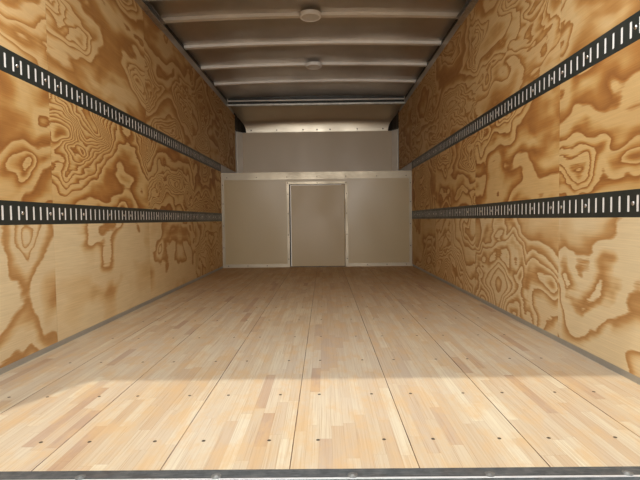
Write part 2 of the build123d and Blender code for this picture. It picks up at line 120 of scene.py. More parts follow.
def spread(tree, value, fromLow, fromHigh, toLow=0.0, toHigh=1.0, kind="LINEAR"):
    node = add(tree, "MapRange", {"Value": value, "From Min": fromLow, "From Max": fromHigh,
                                  "To Min": toLow, "To Max": toHigh}, interpolation_type=kind)
    return node.outputs[0]


def ramp(tree, factor, stops):
    node = add(tree, "ValToRGB", {"Fac": factor})
    elements = node.color_ramp.elements
    while len(elements) < len(stops):
        elements.new(0.5)
    for element, (place, colour) in zip(elements, stops):
        element.position = place
        element.color = (*colour, 1.0)
    return node.outputs["Color"]


def noise(tree, where, scale, detail, roughness=0.5, output="Fac"):
    inputs = {"Vector": where, "Scale": scale, "Detail": detail, "Roughness": roughness}
    return add(tree, "TexNoise", inputs).outputs[output]


def stretched(tree, where, factors):
    return vector(tree, "MULTIPLY", where, factors)


def drawn(tree, where, factors, detail, roughness=0.5):   # noise drawn out along some ways
    return noise(tree, stretched(tree, where, factors), 1.0, detail, roughness)


def scaled(tree, where, factor):
    made = vector(tree, "SCALE", where)
    made.node.inputs["Scale"].default_value = factor
    return made


def split(tree, where):
    return add(tree, "SeparateXYZ", {0: where}).outputs


def join(tree, x, y, z):
    return add(tree, "CombineXYZ", {"X": x, "Y": y, "Z": z}).outputs[0]


def newGroup(name, vectors, numbers, results):   # its inputs are vectors and numbers, its results numbers
    tree = bpy.data.node_groups.new(name, "ShaderNodeTree")
    kinds = ((vectors, "INPUT", "Vector"), (numbers, "INPUT", "Float"), (results, "OUTPUT", "Float"))
    for labels, way, kind in kinds:
        for label in labels:
            tree.interface.new_socket(name=label, in_out=way, socket_type="NodeSocket" + kind)
    return tree, tree.nodes.new("NodeGroupInput").outputs, tree.nodes.new("NodeGroupOutput").inputs


def place(tree, group, inputs):   # a group, placed with a material's own values
    node = tree.nodes.new("ShaderNodeGroup")
    node.node_tree = group
    for name, value in inputs.items():
        wire(tree, node.inputs[name], value)
    return node.outputs


def newMaterial(name, **values):   # plain values go on the shader's own sockets
    material = bpy.data.materials.new(name)
    material.use_nodes = True
    tree = material.node_tree
    tree.nodes.clear()
    shader = tree.nodes.new("ShaderNodeBsdfPrincipled")
    output = tree.nodes.new("ShaderNodeOutputMaterial")
    tree.links.new(shader.outputs[0], output.inputs["Surface"])
    for label, value in values.items():
        shader.inputs[label.replace("_", " ")].default_value = value
    return material, tree, shader.inputs


def rgb(red, green, blue):
    return (red, green, blue, 1.0)


def darker(colour, share):
    return rgb(*[share * part for part in colour[:3]])


def objectPlace(tree):
    return add(tree, "TexCoord").outputs["Object"]


def facing(tree, direction, limit=0.5):   # 1 where the surface looks that way
    normal = add(tree, "NewGeometry").outputs["Normal"]
    return calc(tree, "GREATER_THAN", vector(tree, "DOT_PRODUCT", normal, direction), limit)


def softNormal(tree, radius, height, distance, strength):   # rounded edges, and a bump
    edge = add(tree, "Bevel", {"Radius": radius}, samples=4).outputs[0]
    bump = add(tree, "Bump", {"Height": height, "Distance": distance, "Strength": strength, "Normal": edge})
    return bump.outputs[0]


def shaded(tree, colour, tone):   # a colour times a number
    return blend(tree, 1.0, colour, join(tree, tone, tone, tone), "MULTIPLY")


def surface(tree, shader, colour, roughness, normal):
    for name, value in (("Base Color", colour), ("Roughness", roughness), ("Normal", normal)):
        wire(tree, shader[name], value)


# Shared effects, each one group

def makeWoodFibre():   # fine lines along y, which is the grain
    tree, given, made = newGroup("woodFibre", ["Vector"], ["Length", "Width"], ["Value"])
    grain = join(tree, given["Width"], given["Length"], given["Width"])
    lines = drawn(tree, given["Vector"], grain, 4.0, 0.62)
    wire(tree, made["Value"], spread(tree, lines, 0.28, 0.72))
    return tree


def makePineFigure():   # rings of rotary-cut pine, a new log for every sheet
    numbers = ["Seed", "Rings", "Size", "Stretch", "First Seam", "Sheet"]
    tree, given, made = newGroup("pineFigure", ["Vector"], numbers, ["Ring", "Share", "Sheet"])
    x, y, z = split(tree, given["Vector"])
    along = over(tree, minus(tree, y, given["First Seam"]), given["Sheet"])
    number = calc(tree, "FLOOR", along)
    chance = add(tree, "TexWhiteNoise", {"Vector": join(tree, number, given["Seed"], 0.5)})
    axis = spread(tree, chance.outputs["Value"], 0, 1, 0.25, 0.75)
    reach = times(tree, minus(tree, calc(tree, "FRACT", along), axis), given["Sheet"])
    folded = calc(tree, "SQRT", plus(tree, times(tree, reach, reach), 0.0015))
    offset = scaled(tree, chance.outputs["Color"], 40.0)
    flat = vector(tree, "ADD", join(tree, 0.0, folded, z), offset)
    plain = vector(tree, "ADD", join(tree, 0.0, reach, z), offset)
    bend = vector(tree, "SUBTRACT", noise(tree, plain, 1.3, 1.0, output="Color"), (0.5, 0.5, 0.5))
    bend = stretched(tree, bend, (0.50, 0.50, 0.30))
    tight = vector(tree, "SUBTRACT", noise(tree, flat, 4.5, 1.0, output="Color"), (0.5, 0.5, 0.5))
    tight = stretched(tree, tight, (0.14, 0.14, 0.08))
    warped = vector(tree, "ADD", vector(tree, "ADD", flat, bend), tight)
    long = join(tree, 1.0, 1.0, given["Stretch"])
    depth = noise(tree, stretched(tree, warped, long), given["Size"], 3.6, 0.43)
    teeth = drawn(tree, plain, (6.0, 6.0, 95.0), 3.0, 0.6)
    depth = plus(tree, depth, times(tree, minus(tree, teeth, 0.5), 0.013))
    wave = calc(tree, "SINE", times(tree, depth, 19.0))
    depth = plus(tree, depth, times(tree, wave, 0.040))
    wire(tree, made["Ring"], calc(tree, "FRACT", times(tree, depth, given["Rings"])))
    wire(tree, made["Share"], noise(tree, flat, 1.9, 1.0))
    wire(tree, made["Sheet"], chance.outputs["Value"])
    return tree


def makeRoadDust():   # what settles low down and on level faces
    tree, given, made = newGroup("roadDust", ["Vector"], ["Foot", "Reach", "Level"], ["Mask"])
    height = split(tree, given["Vector"])[2]
    top = plus(tree, given["Foot"], given["Reach"])
    low = calc(tree, "POWER", over(tree, minus(tree, top, height), given["Reach"], clamp=True), 2.2)
    up = split(tree, add(tree, "NewGeometry").outputs["Normal"])[2]
    level = times(tree, calc(tree, "MAXIMUM", up, 0.0), given["Level"])
    patches = noise(tree, given["Vector"], 3.2, 5.0, 0.62)
    fine = noise(tree, given["Vector"], 60.0, 3.0, 0.6)
    amount = times(tree, plus(tree, low, level), spread(tree, patches, 0.3, 0.7, 0.35, 1.1))
    wire(tree, made["Mask"], times(tree, amount, spread(tree, fine, 0.2, 0.8, 0.6, 1.1), clamp=True))
    return tree


def makeHandlingMarks():   # cloudy smears, and a grain along one way
    tree, given, made = newGroup("handlingMarks", ["Vector", "Stretch", "Grain"], [], ["Smear", "Grain"])
    smear = drawn(tree, given["Vector"], given["Stretch"], 3.0, 0.55)
    lines = drawn(tree, given["Vector"], given["Grain"], 2.0)
    wire(tree, made["Smear"], spread(tree, smear, 0.2, 0.8, kind="SMOOTHSTEP"))
    wire(tree, made["Grain"], lines)
    return tree


woodFibre = makeWoodFibre()
pineFigure = makePineFigure()
roadDust = makeRoadDust()
handlingMarks = makeHandlingMarks()
print("shader groups made")

# Materials

plywoodLook = {
    # the third value, a tint, is painted shade toward the cab
    "firstSeam": 1.12, "sheet": 1.219, "deep": rgb(0.86, 0.73, 0.53),
    "firstSeed": 3.1, "seedStep": 1.7, "atticSeed": 31.0,
    "rows": {   # rings, size, stretch, pale share; pale, mid, brown, edge
        # the lower row is paler partly as the sheets' own tone, partly as painted light from the floor's
        # bounce near the door
        "lower": (25.0, 0.95, 1.6, 0.62,
                  (0.80, 0.645, 0.39), (0.73, 0.53, 0.27), (0.57, 0.33, 0.125), (0.46, 0.235, 0.075)),
        "middle": (38.0, 0.95, 2.0, 0.46,
                   (0.67, 0.45, 0.19), (0.59, 0.355, 0.12), (0.44, 0.200, 0.048), (0.31, 0.12, 0.026)),
        "upper": (26.0, 0.80, 3.1, 0.52,
                  (0.64, 0.435, 0.20), (0.58, 0.355, 0.135), (0.45, 0.225, 0.062), (0.35, 0.155, 0.036)),
        "attic": (16.0, 1.0, 1.9, 0.60,
                  (0.66, 0.46, 0.22), (0.60, 0.38, 0.15), (0.46, 0.22, 0.06), (0.31, 0.13, 0.03)),
    },
}


def plywoodColour(tree, here, seed, row, look=plywoodLook):
    rings, size, stretch, share, pale, mid, brown, edge = look["rows"][row]
    rows = place(tree, pineFigure, {
        "Vector": here, "Seed": seed, "Rings": rings, "Size": size, "Stretch": stretch,
        "First Seam": rearEdge + look["firstSeam"] - 2 * look["sheet"], "Sheet": look["sheet"]})
    pause = spread(tree, rows["Share"], 0.34, 0.62, 0.0, share)   # how long each ring stays pale
    level = over(tree, minus(tree, rows["Ring"], pause), minus(tree, 1.0, pause), clamp=True)
    stops = [(0.0, pale), (0.16, pale), (0.42, mid), (0.68, brown), (0.93, edge), (1.0, brown)]
    colour = ramp(tree, level, stops)
    line = spread(tree, rows["Ring"], 0.0, 0.07, 0.85, 0.0, "SMOOTHSTEP")
    colour = blend(tree, line, colour, rgb(*brown))
    blush = drawn(tree, here, (2.0, 1.6, 3.0), 3.0, 0.6)
    colour = blend(tree, spread(tree, blush, 0.45, 0.75, 0.0, 0.30), colour, rgb(*brown))
    fibre = place(tree, woodFibre, {"Vector": here, "Length": 5.0, "Width": 240.0})["Value"]
    shade = times(tree, spread(tree, fibre, 0, 1, 0.90, 1.06),
                  spread(tree, rows["Sheet"], 0, 1, 0.93, 1.05))
    return shaded(tree, colour, shade), fibre


def paintedFarShade(tree, colour, here, deep):   # painted shade: the colour darkens and warms toward the cab, standing in for the dimmer, wood-bounced light there
    depth = spread(tree, split(tree, here)[1], rearEdge + 1.0, rearEdge + 4.0)
    return blend(tree, depth, colour, deep, "MULTIPLY")


def makePlywood(name, seed, row):
    material, tree, shader = newMaterial(name)
    here = objectPlace(tree)
    colour, fibre = plywoodColour(tree, here, seed, row)
    # the lower row gets painted shade toward the cab
    if row == "lower":
        colour = paintedFarShade(tree, colour, here, plywoodLook["deep"])
    surface(tree, shader, colour, spread(tree, fibre, 0, 1, 0.66, 0.52),
            softNormal(tree, 0.0012, fibre, 0.0002, 0.7))
    return material


floorBoard = 0.3048
floorLook = {
    "strip": floorBoard / 9, "shortest": 0.20, "longest": 0.62, "glue": 0.0005, "seam": 0.0013,
    "woods": [(0.0, (0.60, 0.51, 0.37)), (0.16, (0.68, 0.61, 0.45)), (0.40, (0.56, 0.45, 0.31)),
              (0.58, (0.64, 0.56, 0.41)), (0.74, (0.54, 0.41, 0.27)), (0.88, (0.61, 0.52, 0.38)),
              (1.0, (0.44, 0.30, 0.20))],
    "lines": rgb(0.40, 0.23, 0.12), "streaks": rgb(0.36, 0.20, 0.10), "glueColour": rgb(0.24, 0.12, 0.06),
    "seamColour": rgb(0.10, 0.035, 0.018), "worn": rgb(0.52, 0.45, 0.37), "amber": rgb(0.60, 0.40, 0.20),
    # the first tint on this line is painted shade toward the cab
    "deep": rgb(0.76, 0.57, 0.36), "underside": rgb(0.035, 0.032, 0.03),
}


def makeFloorBoards(look):
    material, tree, shader = newMaterial("laminatedOak")
    here = objectPlace(tree)
    x, y, z = split(tree, here)
    across = over(tree, x, look["strip"])
    row = calc(tree, "FLOOR", across)
    chance = add(tree, "TexWhiteNoise", {"W": row}, noise_dimensions="1D")
    parts = add(tree, "SeparateColor", {0: chance.outputs["Color"]}).outputs
    length = spread(tree, parts[0], 0, 1, look["shortest"], look["longest"])
    along = over(tree, plus(tree, y, times(tree, parts[1], 7.0)), length)
    piece = calc(tree, "FLOOR", along)
    wood = add(tree, "TexWhiteNoise", {"Vector": join(tree, row, piece, 0.0)}, noise_dimensions="3D")
    colour = ramp(tree, wood.outputs["Value"], look["woods"])
    shift = scaled(tree, wood.outputs["Color"], 12.0)
    grain = {"Vector": vector(tree, "ADD", here, shift), "Length": 3.5, "Width": 190.0}
    fibre = place(tree, woodFibre, grain)["Value"]
    colour = blend(tree, spread(tree, fibre, 0.35, 1.0, 0.0, 0.34), colour, look["lines"])
    thin = vector(tree, "ADD", stretched(tree, here, (330.0, 3.2, 1.0)), shift)
    streak = noise(tree, thin, 1.0, 2.0, 0.55)
    colour = blend(tree, spread(tree, streak, 0.54, 0.72, 0.0, 0.55), colour, look["streaks"])
    side = times(tree, calc(tree, "PINGPONG", across, 0.5), look["strip"])
    end = times(tree, calc(tree, "PINGPONG", along, 0.5), length)
    glue = calc(tree, "LESS_THAN", calc(tree, "MINIMUM", side, end), look["glue"])
    colour = blend(tree, times(tree, glue, 0.35), colour, look["glueColour"])
    edge = times(tree, calc(tree, "PINGPONG", over(tree, x, floorBoard), 0.5), floorBoard)
    seam = calc(tree, "LESS_THAN", edge, look["seam"])
    colour = blend(tree, seam, colour, look["seamColour"])
    worn = noise(tree, stretched(tree, here, (1.0, 0.5, 1.0)), 3.0, 4.0, 0.6)
    colour = blend(tree, spread(tree, worn, 0.42, 0.7, 0.0, 0.4), colour, look["worn"])
    mottle = drawn(tree, here, (16.0, 7.0, 1.0), 4.0, 0.65)
    colour = blend(tree, spread(tree, mottle, 0.46, 0.66, 0.0, 0.6), colour, look["amber"])
    # painted shade: the boards darken and warm toward the cab
    colour = paintedFarShade(tree, colour, here, look["deep"])
    under = facing(tree, downward)
    surface(tree, shader, blend(tree, under, colour, look["underside"]),
            between(tree, under, spread(tree, worn, 0.3, 0.7, 0.46, 0.66), 0.8),
            softNormal(tree, 0.0012, minus(tree, fibre, seam), 0.00015, 0.6))
    return material


white, dustColour = rgb(0.65, 0.66, 0.65), rgb(0.36, 0.31, 0.25)
clean = (-9.0, 0.5)   # (foot, reach): dust that ends far below the deck
bows = (rearEdge + 0.351, 0.6096)   # (first, pitch) of the roof's bows and the walls' posts


def paintedShadeWithin(tree, colour, low, high, shade):   # darker between two places: painted shade in unlit recesses
    inside = 1.0
    for value, first, last in zip(split(tree, objectPlace(tree)), low, high):
        if first is not None:
            past = calc(tree, "GREATER_THAN", value, first)
            within = times(tree, past, calc(tree, "LESS_THAN", value, last))
            inside = within if inside == 1.0 else times(tree, inside, within)
    # the near-black colour mixed in here is painted shade
    return blend(tree, times(tree, inside, 1.0 - shade), colour, rgb(0.012, 0.010, 0.008))


def marked(tree, here, stretch, grain):
    return place(tree, handlingMarks, {"Vector": here, "Stretch": stretch, "Grain": grain})


def settled(tree, here, dust, level):   # how much dust lies there
    foot, reach = dust
    return place(tree, roadDust, {"Vector": here, "Foot": foot, "Reach": reach, "Level": level})["Mask"]


def makePaint(name, colour, dust, roughness=0.38, gloss=0.22, wave=0.0, rows=None):
    material, tree, shader = newMaterial(name, Coat_Weight=gloss, Coat_Roughness=0.26)
    here = objectPlace(tree)
    marks = marked(tree, here, (2.5, 2.5, 1.2), (3.0, 3.0, 60.0))
    dusty = settled(tree, here, dust, 0.25)
    dull = blend(tree, times(tree, marks["Smear"], 0.10), colour, dustColour)
    if rows:   # (first, pitch): grime gathers along the rows of rivets
        first, pitch = rows
        along = over(tree, minus(tree, split(tree, here)[1], first - pitch * 20), pitch)
        away = calc(tree, "PINGPONG", along, 0.5)
        streak = drawn(tree, here, (60.0, 60.0, 1.4), 3.0, 0.6)
        line = times(tree, spread(tree, away, 0.012 / pitch, 0.045 / pitch, 1.0, 0.0), streak)
        dull = blend(tree, times(tree, line, 0.42), dull, dustColour)
    base = blend(tree, times(tree, dusty, 0.55), dull, dustColour)
    rough = between(tree, dusty, spread(tree, marks["Smear"], 0, 1, roughness, roughness + 0.1), 0.8)
    peel = noise(tree, here, 420.0, 1.0)
    broad = noise(tree, here, 1.6, 1.0)
    height = plus(tree, times(tree, peel, 0.05), times(tree, broad, wave))
    surface(tree, shader, base, rough, softNormal(tree, 0.0025, height, 0.002, 0.5))
    return material


def makeMetal(name, colour, roughness, grain, dust=clean, level=0.0, metallic=1.0, bevel=0.0015, depth=0.03,
              wave=0.0, shade=None, above=None, sag=None):
    material, tree, shader = newMaterial(name, Metallic=metallic)
    here = objectPlace(tree)
    marks = marked(tree, here, (3.0, 1.2, 3.0), grain)
    dusty = settled(tree, here, dust, level)
    base = blend(tree, marks["Smear"], colour, darker(colour, 0.82))
    base = paintedShadeWithin(tree, base, *shade) if shade else base
    rough = plus(tree, spread(tree, marks["Smear"], 0, 1, roughness - 0.05, roughness + 0.10),
                 spread(tree, marks["Grain"], 0.3, 0.7, -1.3 * depth, 2.0 * depth))
    if above:   # weathered and dull on top
        up = facing(tree, upward)
        base = blend(tree, up, base, blend(tree, marks["Smear"], above, darker(above, 0.9)))
        rough = between(tree, up, rough, 0.62)
        wire(tree, shader["Metallic"], between(tree, up, metallic, 0.25))
    base = blend(tree, times(tree, dusty, 0.6), base, dustColour)
    rough = between(tree, dusty, rough, 0.85)
    height = times(tree, marks["Grain"], depth)
    if wave:
        height = plus(tree, height, times(tree, noise(tree, here, 1.7, 1.5), wave))
    if sag:   # the thin sheet dips between its bows
        first, pitch = bows
        x, y, z = split(tree, here)
        bay = calc(tree, "PINGPONG", over(tree, minus(tree, y, first - 8 * pitch), pitch), 0.5)
        dip = times(tree, spread(tree, bay, 0.02, 0.45, kind="SMOOTHSTEP"),
                   spread(tree, calc(tree, "ABSOLUTE", x), 1.10, 0.80, kind="SMOOTHSTEP"))
        swell = drawn(tree, here, (0.7, 1.9, 1.0), 2.0)
        dip = times(tree, dip, spread(tree, swell, 0.3, 0.7, 0.2, 1.0))
        height = plus(tree, height, times(tree, dip, sag))
    surface(tree, shader, base, rough, softNormal(tree, bevel, height, 0.002, 0.5))
    return material


def makeSpangled(name, colour, roughness, scale=90.0, metallic=0.85, shade=None):   # zinc crystals on steel
    material, tree, shader = newMaterial(name, Metallic=metallic)
    here = objectPlace(tree)
    crystal = add(tree, "TexVoronoi", {"Vector": here, "Scale": scale, "Randomness": 1.0}).outputs["Color"]
    tone = add(tree, "SeparateColor", {0: crystal}).outputs[0]
    cloud = noise(tree, here, 7.0, 4.0, 0.6)
    tone = times(tree, spread(tree, tone, 0, 1, 0.82, 1.08), spread(tree, cloud, 0.3, 0.7, 0.82, 1.05))
    base = shaded(tree, colour, tone)
    surface(tree, shader, paintedShadeWithin(tree, base, *shade) if shade else base,
            spread(tree, tone, 0.7, 1.1, roughness + 0.12, roughness - 0.04),
            softNormal(tree, 0.0012, cloud, 0.0008, 0.3))
    return material


def makeBlackSteel(name, colour, roughness, grime, dust=clean, bumps=0.3):
    material, tree, shader = newMaterial(name)
    here = objectPlace(tree)
    cloud = noise(tree, here, 5.0, 5.0, 0.65)
    fine = noise(tree, here, 240.0, 2.0, 0.6)
    dusty = settled(tree, here, dust, 0.3)
    tone = calc(tree, "MAXIMUM", times(tree, dusty, 0.5), spread(tree, cloud, 0.45, 0.75, 0.0, 0.25))
    surface(tree, shader, blend(tree, tone, colour, grime),
            spread(tree, cloud, 0.3, 0.7, roughness - 0.06, roughness + 0.12),
            softNormal(tree, 0.0015, fine, 0.0006, bumps))
    return material


def makeWornSteel(name, colour, bright, rust, lip=None):   # rubbed by cargo and boots; its outer lip is pale: partly worn bare steel, partly painted highlight
    material, tree, shader = newMaterial(name, Metallic=0.55)
    here = objectPlace(tree)
    mottle = noise(tree, here, 30.0, 4.0, 0.6)
    broad = noise(tree, here, 6.0, 3.0, 0.6)
    cuts = drawn(tree, here, (22.0, 420.0, 420.0), 2.0)
    marks = spread(tree, cuts, 0.58, 0.72, 0.0, 0.7)
    base = blend(tree, spread(tree, mottle, 0.38, 0.70, 0.0, 0.8), colour, bright)
    base = blend(tree, spread(tree, broad, 0.58, 0.75, 0.0, 0.5), base, rust)
    base = blend(tree, times(tree, marks, 0.5), base, rgb(0.36, 0.37, 0.37))
    if lip is not None:
        y = split(tree, here)[1]
        # the lip's pale top: partly worn bare steel, partly painted highlight
        worn = times(tree, spread(tree, y, lip - 0.002, lip, 1.0, 0.0), facing(tree, upward))
        base = blend(tree, worn, base, blend(tree, marks, rgb(0.78, 0.80, 0.82), rgb(0.50, 0.52, 0.54)))
        # a near-black line along the lip's bend: painted shade
        creaseShade = calc(tree, "LESS_THAN", calc(tree, "ABSOLUTE", minus(tree, y, lip + 0.001)), 0.0012)
        base = blend(tree, times(tree, creaseShade, 0.7), base, rgb(0.02, 0.02, 0.02))
    surface(tree, shader, base, spread(tree, mottle, 0.3, 0.7, 0.60, 0.44),
            softNormal(tree, 0.003, minus(tree, mottle, marks), 0.0009, 0.4))
    return material


def makePanel(name, colour, tint, outer, roughness=0.42, metallic=0.0, inward=backward, lean=None):
    material, tree, shader = newMaterial(name)
    here = objectPlace(tree)
    marks = marked(tree, here, (1.6, 1.6, 1.1), (2.0, 2.0, 220.0))
    base = blend(tree, times(tree, marks["Smear"], 0.25), colour, tint)
    out = minus(tree, 1.0, facing(tree, inward, 0.05))   # the outer face has a finish of its own
    base = blend(tree, out, base, blend(tree, times(tree, marks["Smear"], 0.10), outer, tint))
    if metallic:
        wire(tree, shader["Metallic"], between(tree, out, metallic, 0.0))
    rough = spread(tree, marks["Smear"], 0, 1, roughness - 0.07, roughness + 0.10)
    broad = times(tree, noise(tree, here, 2.2, 1.0), 0.001)
    if lean:   # (foot, top, amount): the sheet's bend is gentler there
        x, y, z = split(tree, here)
        foot, top, amount = lean
        rise = spread(tree, z, foot, top, kind="SMOOTHERSTEP")
        middle = spread(tree, calc(tree, "ABSOLUTE", x), 0.50, 1.05, amount, 0.5 * amount)
        broad = minus(tree, broad, times(tree, rise, middle))
    surface(tree, shader, base, rough, softNormal(tree, 0.002, broad, 1.0, 1.0))
    return material


def makeLens(name, colour, ribs=200.0, roughness=0.12, depth=0.45):   # moulded prisms behind a smooth face
    plain = {"Roughness": roughness, "Coat_Weight": 0.6, "Coat_Roughness": 0.05, "IOR": 1.49}
    material, tree, shader = newMaterial(name, **plain)
    here = objectPlace(tree)
    level = vector(tree, "DOT_PRODUCT", here, (1.0, 1.0, 0.0))
    pattern = calc(tree, "PINGPONG", times(tree, level, ribs), 0.5)
    cells = calc(tree, "PINGPONG", times(tree, split(tree, here)[2], ribs), 0.5)
    relief = plus(tree, pattern, cells)
    wire(tree, shader["Base Color"], blend(tree, relief, darker(colour, depth), colour))
    wire(tree, shader["Normal"], softNormal(tree, 0.003, relief, 0.0025, 0.7))
    return material


def makeAtticFloor():   # plywood on top, painted sheet below
    material, tree, shader = newMaterial("atticDeck")
    here = objectPlace(tree)
    x, y, z = split(tree, here)   # its sheets lie level, so x takes the height's place
    colour, fibre = plywoodColour(tree, join(tree, z, y, x), plywoodLook["atticSeed"], "attic")
    under = facing(tree, downward)
    surface(tree, shader, blend(tree, under, colour, rgb(0.10, 0.10, 0.10)),
            between(tree, under, 0.6, 0.75), softNormal(tree, 0.0015, fibre, 0.0002, 0.7))
    return material


alongBody, allWays = (160.0, 2.0, 160.0), (60.0, 60.0, 60.0)   # the way that a metal's grain runs
outerGrey = rgb(0.52, 0.52, 0.50)
made = [
    makeBlackSteel("undercoat", rgb(0.022, 0.022, 0.023), 0.62, rgb(0.19, 0.16, 0.13), (0.0, 0.35), 0.8),
    makeBlackSteel("trackBlack", rgb(0.026, 0.031, 0.027), 0.36, rgb(0.07, 0.07, 0.06)),
    makeBlackSteel("rubber", rgb(0.012, 0.012, 0.012), 0.7, rgb(0.05, 0.045, 0.04)),
    makeFloorBoards(floorLook),
    makePaint("wallPaint", white, (0.1, 0.8), wave=1.2, rows=bows),
    makePaint("rivetPaint", rgb(0.52, 0.53, 0.53), (0.1, 0.8), 0.25, 0.4),
    makePaint("framePaint", rgb(0.60, 0.61, 0.60), (0.0, 0.9)),
    makePaint("doorPaint", white, clean, 0.4, 0.1, wave=0.5),
    makeMetal("railMetal", rgb(0.66, 0.66, 0.65), 0.34, alongBody, (0.1, 0.4), 0.2),
    makeMetal("sillRail", rgb(0.58, 0.59, 0.57), 0.38, alongBody, (0.1, 0.4), 0.2, 0.75),
    # painted shade on the rail's inner face, up under the roof
    makeMetal("topRailMetal", rgb(0.60, 0.57, 0.52), 0.38, alongBody, metallic=0.8,
              shade=((-1.1835, None, deckTop + 2.151), (1.1835, None, deckTop + 2.3), 0.05)),
    makeMetal("roofMetal", rgb(0.70, 0.65, 0.59), 0.35, (160.0, 2.0, 2.0), level=0.12, metallic=0.88,
              depth=0.003, wave=4.0, above=rgb(0.52, 0.53, 0.53), sag=14.0),
    makeMetal("stripMetal", rgb(0.40, 0.33, 0.23), 0.40, allWays, metallic=0.5),
    # near black above the nose's foot: painted shade on the gussets in their hollow corners
    makeMetal("cornerMetal", rgb(0.93, 0.87, 0.76), 0.45, (60.0, 60.0, 4.0), metallic=0.1,
              shade=((None, None, deckTop + 1.8895), (None, None, deckTop + 2.3), 0.0)),
    makeMetal("screwMetal", rgb(0.16, 0.13, 0.10), 0.45, allWays, bevel=0.0003),
    makePaint("slotWhite", rgb(0.92, 0.91, 0.88), clean, 0.5, 0.0),
    makeMetal("rivetMetal", rgb(0.80, 0.79, 0.77), 0.26, allWays, bevel=0.0003),
    # the rear sill: its lip carries painted highlight and painted shade
    makeWornSteel("wornSteel", rgb(0.090, 0.100, 0.108), rgb(0.165, 0.178, 0.186), rgb(0.13, 0.09, 0.065),
                  rearEdge - 0.036),
    makeWornSteel("wornBolt", rgb(0.15, 0.16, 0.16), rgb(0.30, 0.30, 0.29), rgb(0.17, 0.11, 0.08)),
    makeMetal("bowPaint", rgb(0.97, 0.92, 0.84), 0.42, (2.0, 120.0, 120.0), metallic=0.1, depth=0.01),
    # painted shade on the header's web, back from its lip
    makeSpangled("headerMetal", rgb(0.66, 0.64, 0.58), 0.34, 14.0, 0.6,
                 ((None, rearEdge + 5.31, deckTop + 2.123), (None, rearEdge + 5.4, deckTop + 2.3), 0.05)),
    makeSpangled("zinc", rgb(0.56, 0.57, 0.58), 0.36),
    makePanel("bulkheadPaint", rgb(0.40, 0.295, 0.145), rgb(0.34, 0.24, 0.115), outerGrey, 0.34),
    makePanel("doorSkin", rgb(0.355, 0.245, 0.105), rgb(0.30, 0.20, 0.085), outerGrey, 0.40),
    makePanel("atticLiner", rgb(0.62, 0.50, 0.35), rgb(0.50, 0.40, 0.27), white),
    makePanel("noseLiner", rgb(0.68, 0.60, 0.47), rgb(0.50, 0.42, 0.31), white, 0.36, 0.85,
              (0.0, -0.6, -0.8), (deckTop + 1.90, deckTop + 2.20, 0.092)),
    makeLens("redLens", rgb(0.50, 0.006, 0.005)),
    makeLens("amberLens", rgb(0.86, 0.20, 0.003)),
    makeLens("clearLens", rgb(0.80, 0.82, 0.83), roughness=0.2),
    makeLens("domeLens", rgb(0.93, 0.90, 0.83), 110.0, 0.35, 0.75),
]
plywoods = [(side, row) for side in ("left", "right") for row in ("lower", "middle", "upper")]
for number, (side, row) in enumerate(plywoods):
    seed = plywoodLook["firstSeed"] + plywoodLook["seedStep"] * number
    made.append(makePlywood(f"pine_{side}_{row}", seed, row))
made.append(makeAtticFloor())
materials = {material.name: material for material in made}

nodeLook = {   # the two sides have the same look
    "longsill": "undercoat", "mounting_plates": "undercoat", "crossmembers": "undercoat",
    "floor_boards": "laminatedOak", "rear_sill": "wornSteel", "rear_post": "framePaint",
    "rear_header": "framePaint", "side_wall": "wallPaint", "bottom_rail": "sillRail",
    "top_rail": "topRailMetal", "nose_rail": "railMetal", "cargo_track_lower": "trackBlack",
    "cargo_track_upper": "trackBlack", "bulkhead": "bulkheadPaint", "bulkhead_frame": "stripMetal",
    "bulkhead_door": "doorSkin", "attic_floor": "atticDeck", "attic_front": "atticLiner",
    "attic_corners": "cornerMetal", "nose_panel": "noseLiner", "roof_sheet": "roofMetal",
    "roof_bows": "bowPaint", "front_header": "headerMetal", "dome_lamps": "domeLens", "door_tracks": "zinc",
    "roll_up_door": "doorPaint", "counterbalance": "zinc", "red_lamps": "redLens",
    "amber_lamps": "amberLens", "reverse_lamps": "clearLens", "grab_handles": "zinc",
}
for name, node in nodes.items():
    kind = name.replace("_left", "").replace("_right", "")
    for slot in node.material_slots:
        slot.material = materials[nodeLook.get(kind, name.replace("plywood", "pine"))]
print("materials made and given to the nodes")


# Small pieces, joined into one mesh for each kind

def bandsBetween(rings, around):   # faces between rings of points that follow each other
    faces = []
    for ring in range(rings - 1):
        for step in range(around):
            a = ring * around + step
            b = ring * around + (step + 1) % around
            faces.append((a, b, b + around, a + around))
    return faces


def turned(profile, around):   # turned about z, from (radius, height) pairs to the middle
    points = []
    for radius, height in profile[:-1]:
        for step in range(around):
            angle = 2 * math.pi * step / around
            points.append((radius * math.cos(angle), radius * math.sin(angle), height))
    faces = bandsBetween(len(profile) - 1, around)
    points.append((0.0, 0.0, profile[-1][1]))
    last = (len(profile) - 2) * around
    for step in range(around):
        faces.append((last + step, last + (step + 1) % around, len(points) - 1))
    return np.array(points), faces


def dome(radius, height, around=10, rings=3):   # a rivet's head
    profile = []
    for step in range(rings):
        angle = 0.5 * math.pi * step / rings
        profile.append((radius * math.cos(angle), height * math.sin(angle)))
    return turned(profile + [(0.0, height)], around)


def rimmed(length, height, profile, around=24):   # bands round a lamp with round ends: (offset, rise) pairs
    points = []
    for offset, rise in profile:
        radius = height / 2 + offset
        for step in range(around):
            angle = 2 * math.pi * (step + 0.5) / around
            x = radius * math.cos(angle) + math.copysign((length - height) / 2, math.cos(angle))
            points.append((x, radius * math.sin(angle), rise))
    return np.array(points), bandsBetween(len(profile), around)


def block(low, high):   # a box between two corners, for strips and leaves
    ends = list(zip(low, high))
    corners = np.array([(x, y, z) for x in ends[0] for y in ends[1] for z in ends[2]])
    return corners, [(0, 1, 3, 2), (4, 6, 7, 5), (0, 4, 5, 1), (2, 3, 7, 6), (0, 2, 6, 4), (1, 5, 7, 3)]


